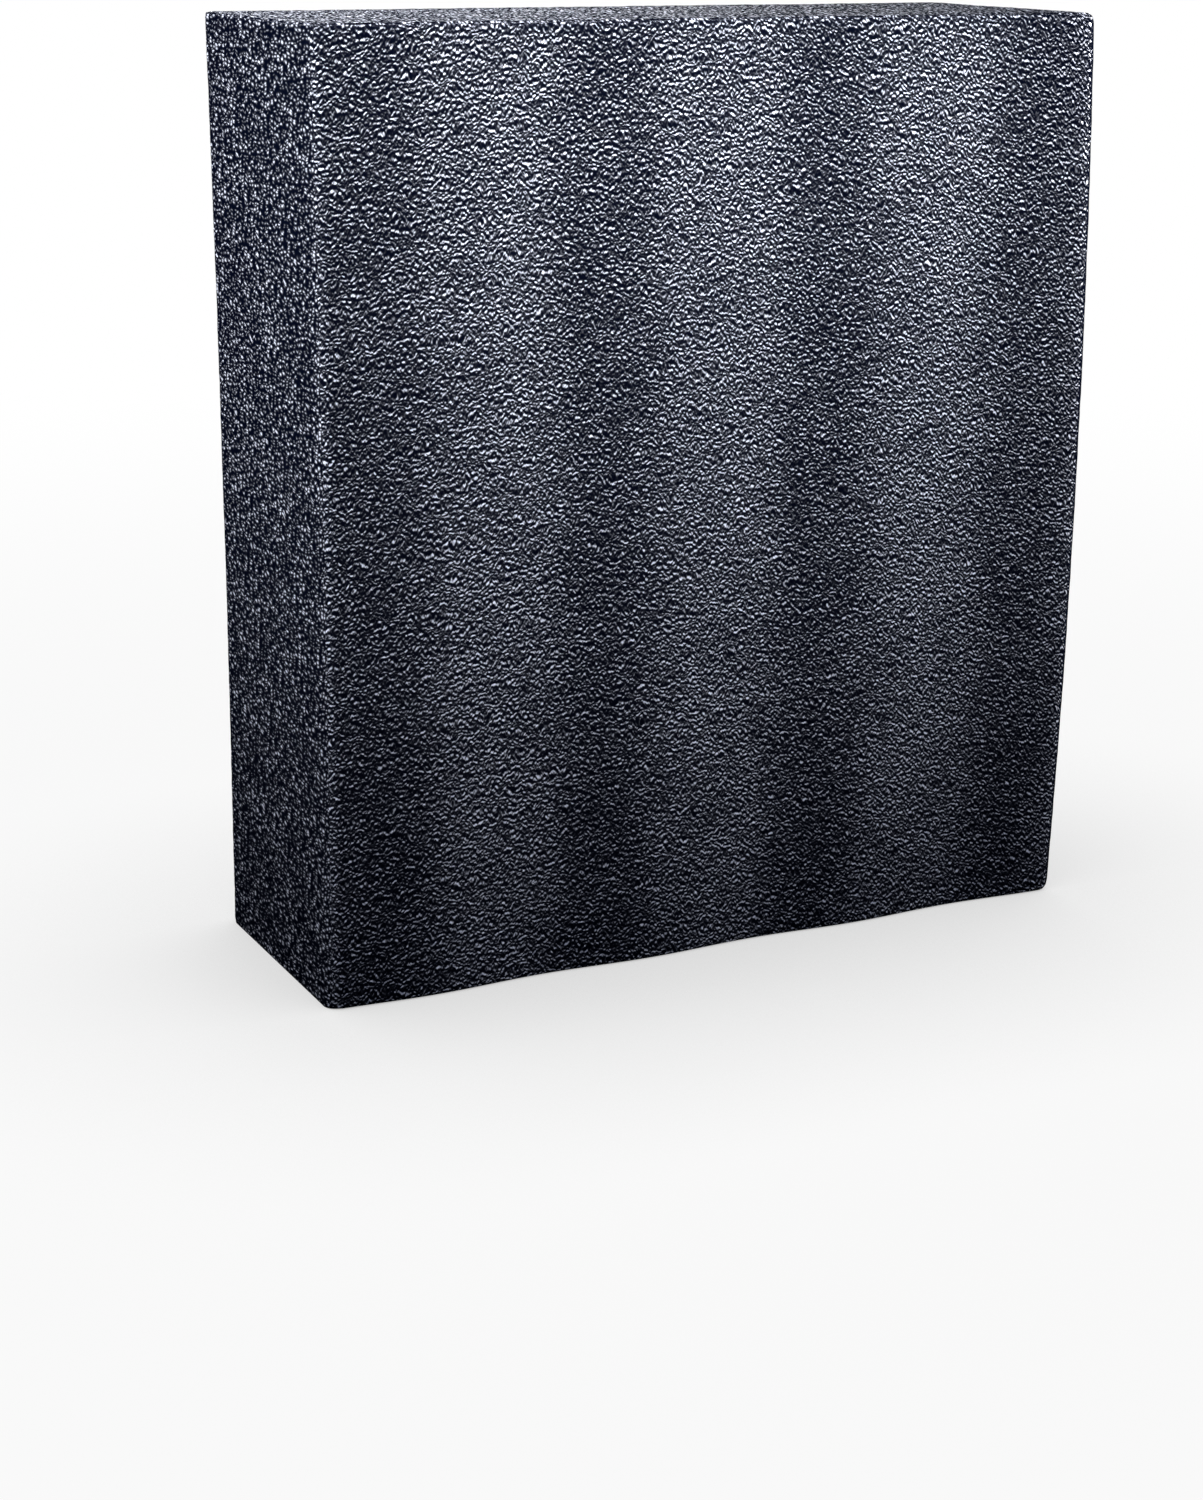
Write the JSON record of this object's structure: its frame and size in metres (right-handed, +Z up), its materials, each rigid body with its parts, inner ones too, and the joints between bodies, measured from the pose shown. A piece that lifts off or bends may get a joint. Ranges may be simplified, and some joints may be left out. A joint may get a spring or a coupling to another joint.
{
  "type": "foam block",
  "caption": "Rectangular closed-cell foam block with rippled skins and sawn edges, for propping, spacing or packing on a bench or desk.",
  "frame": {"origin": "middle of the footprint of the standing block, on the surface that it stands on", "axes": "+Z up along the height, +X across the width towards the swollen side, +Y through the thickness from the front skin to the back skin"},
  "size_m": [0.218, 0.076, 0.238],
  "materials": {
    "foam": "charcoal closed-cell foam, satin skin on the two broad faces and open sawn cells on the others"
  },
  "bodies": {
    "root": {"foam_block": "foam"}
  },
  "joints": []
}
